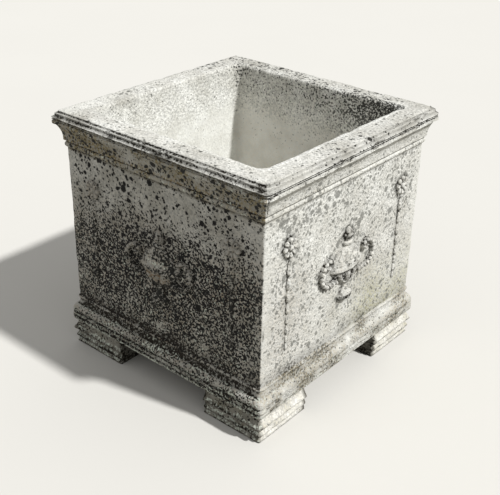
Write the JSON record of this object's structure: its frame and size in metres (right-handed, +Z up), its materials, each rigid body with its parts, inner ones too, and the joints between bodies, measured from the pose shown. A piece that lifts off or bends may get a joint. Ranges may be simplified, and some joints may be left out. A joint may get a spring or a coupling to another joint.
{
  "type": "square planter",
  "caption": "Square cast-stone planter with a stepped cornice rim, moulded plinth and block feet, with urns, rosettes and husk drops in low relief on its faces.",
  "frame": {"origin": "on the ground under the middle of the planter", "axes": "+Z up, +X towards the right face, -Y towards the front face"},
  "size_m": [0.43, 0.43, 0.418],
  "materials": {
    "cast_stone": "rough, weathered",
    "relief_stone": "rough, weathered",
    "foot_stone": "rough",
    "mortar": "coarse, dark",
    "dowel_steel": "plain"
  },
  "bodies": {
    "root": {"planter_body": "cast_stone", "foot_front_right": "foot_stone", "foot_back_right": "foot_stone", "foot_back_left": "foot_stone", "foot_front_left": "foot_stone", "mortar_bed_front_right": "mortar", "mortar_bed_back_right": "mortar", "mortar_bed_back_left": "mortar", "mortar_bed_front_left": "mortar", "foot_dowels": "dowel_steel", "urn_front": "relief_stone", "rosette_front_left": "relief_stone", "husk_drop_front_left": "relief_stone", "rosette_front_right": "relief_stone", "husk_drop_front_right": "relief_stone", "urn_right": "relief_stone", "rosette_right_left": "relief_stone", "husk_drop_right_left": "relief_stone", "rosette_right_right": "relief_stone", "husk_drop_right_right": "relief_stone", "urn_back": "relief_stone", "rosette_back_left": "relief_stone", "husk_drop_back_left": "relief_stone", "rosette_back_right": "relief_stone", "husk_drop_back_right": "relief_stone", "urn_left": "relief_stone", "rosette_left_left": "relief_stone", "husk_drop_left_left": "relief_stone", "rosette_left_right": "relief_stone", "husk_drop_left_right": "relief_stone"}
  },
  "joints": []
}
